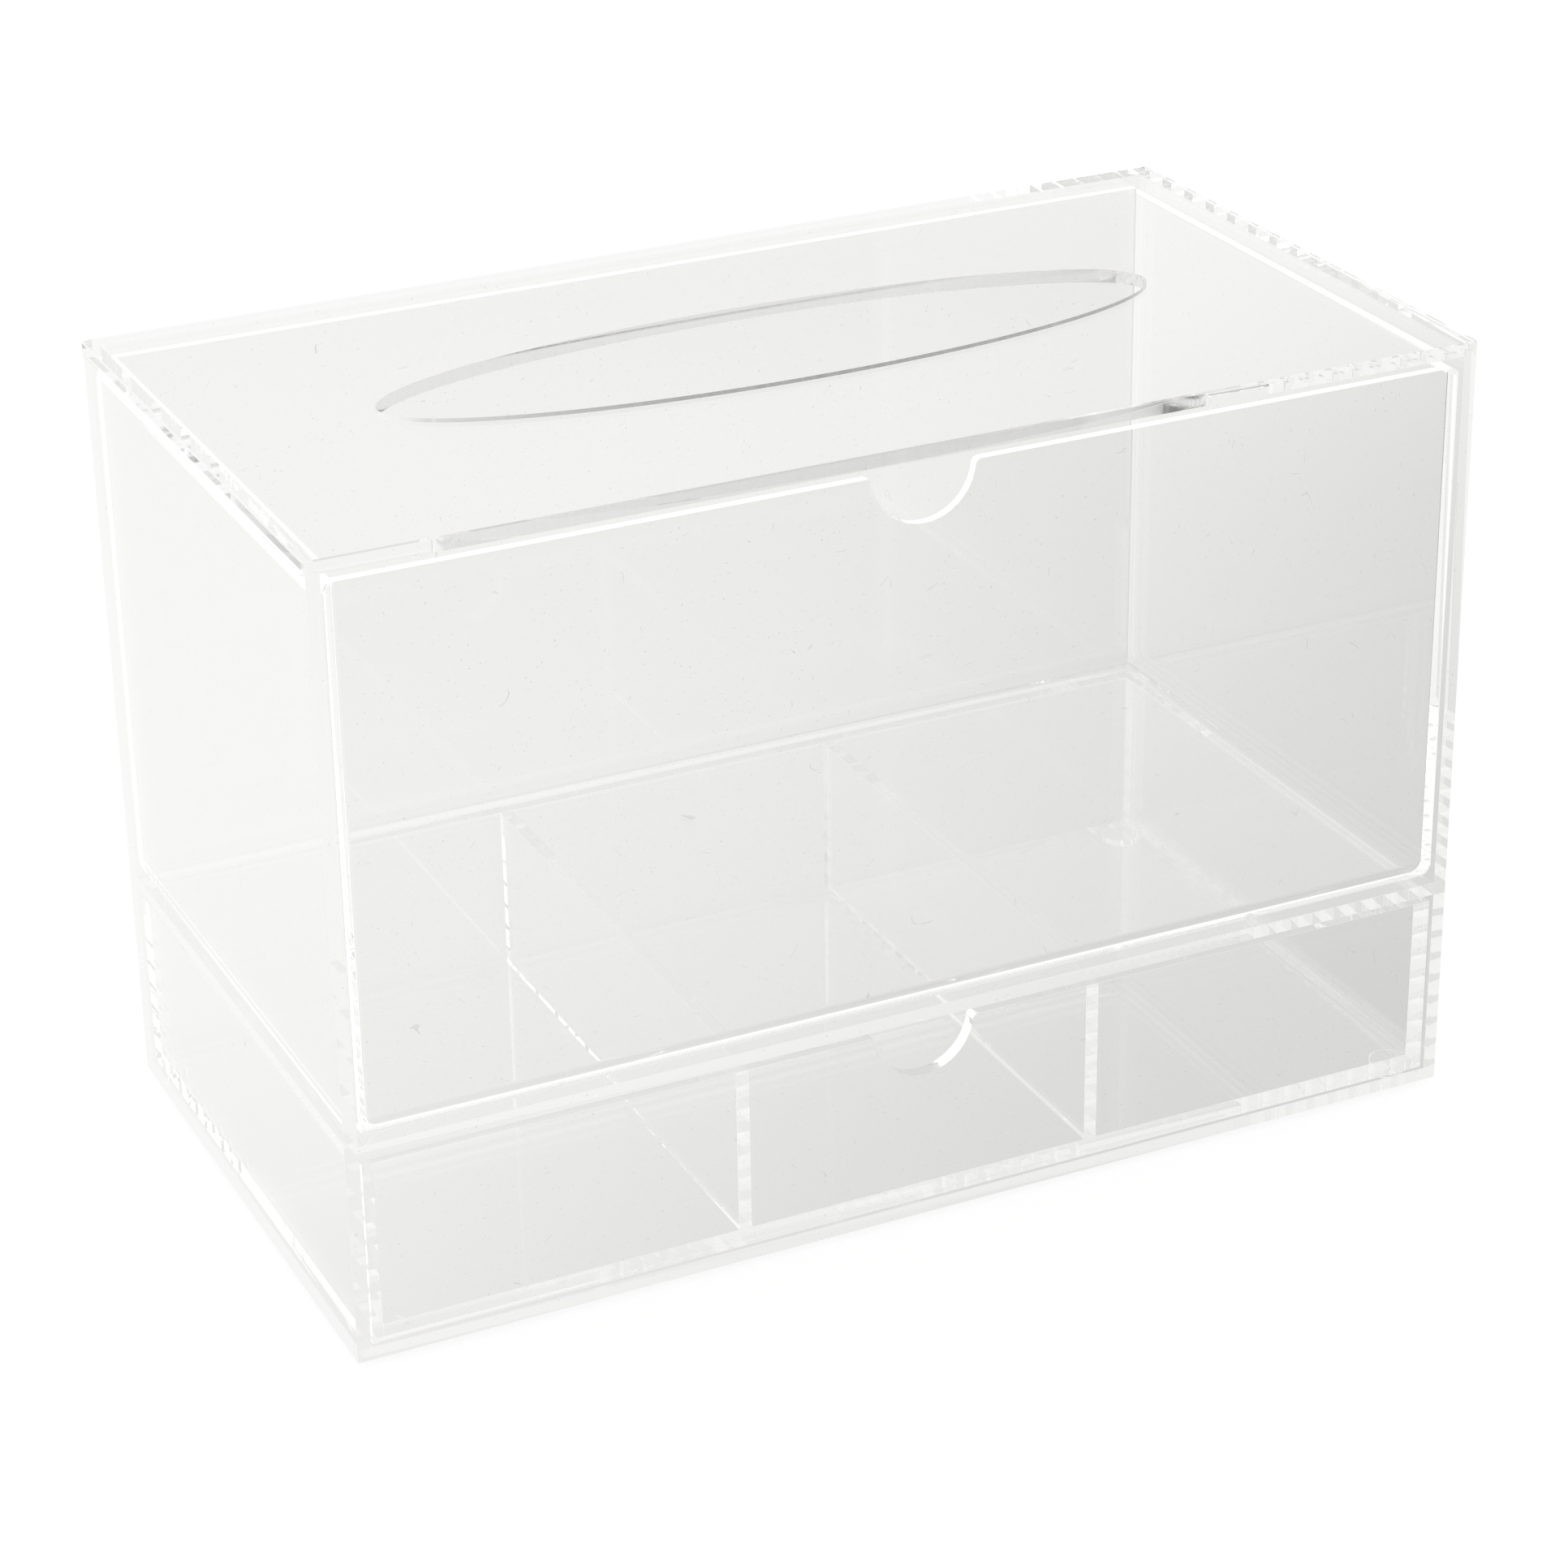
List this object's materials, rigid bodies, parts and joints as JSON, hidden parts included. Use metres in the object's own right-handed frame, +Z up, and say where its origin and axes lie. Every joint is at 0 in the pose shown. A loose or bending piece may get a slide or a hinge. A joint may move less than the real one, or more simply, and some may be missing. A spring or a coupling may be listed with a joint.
{
  "type": "clear two-drawer desk organizer with tissue slot",
  "caption": "Clear acrylic desktop organizer: an oval tissue slot in the top, a deep pull-out drawer below it and a shallow divided drawer at the base.",
  "frame": {"origin": "under the middle of the case, on the plane that the feet stand on", "axes": "+X to the right seen from the front, +Y to the back, +Z up; the drawers pull out towards -Y"},
  "size_m": [0.26, 0.138, 0.178],
  "materials": {
    "clear_sheet": "polished clear acrylic sheet",
    "clear_moulding": "polished clear moulded styrene or acrylic",
    "clear_bumper": "soft clear polyurethane"
  },
  "bodies": {
    "case": {"top_panel": "clear_sheet", "bottom_panel": "clear_sheet", "middle_shelf": "clear_sheet", "left_wall": "clear_sheet", "right_wall": "clear_sheet", "back_wall": "clear_sheet", "foot_front_left": "clear_bumper", "foot_front_right": "clear_bumper", "foot_rear_left": "clear_bumper", "foot_rear_right": "clear_bumper"},
    "upper_drawer": {"upper_drawer": "clear_moulding"},
    "lower_drawer": {"drawer_front": "clear_sheet", "drawer_back": "clear_sheet", "drawer_left_side": "clear_sheet", "drawer_right_side": "clear_sheet", "drawer_floor": "clear_sheet", "divider_left": "clear_sheet", "divider_right": "clear_sheet"}
  },
  "joints": [
    {"name": "upper_drawer_slide", "type": "slide", "parent": "case", "child": "upper_drawer", "axis": [0, -1, 0], "range_m": [0, 0.1]},
    {"name": "lower_drawer_slide", "type": "slide", "parent": "case", "child": "lower_drawer", "axis": [0, -1, 0], "range_m": [0, 0.1]}
  ]
}
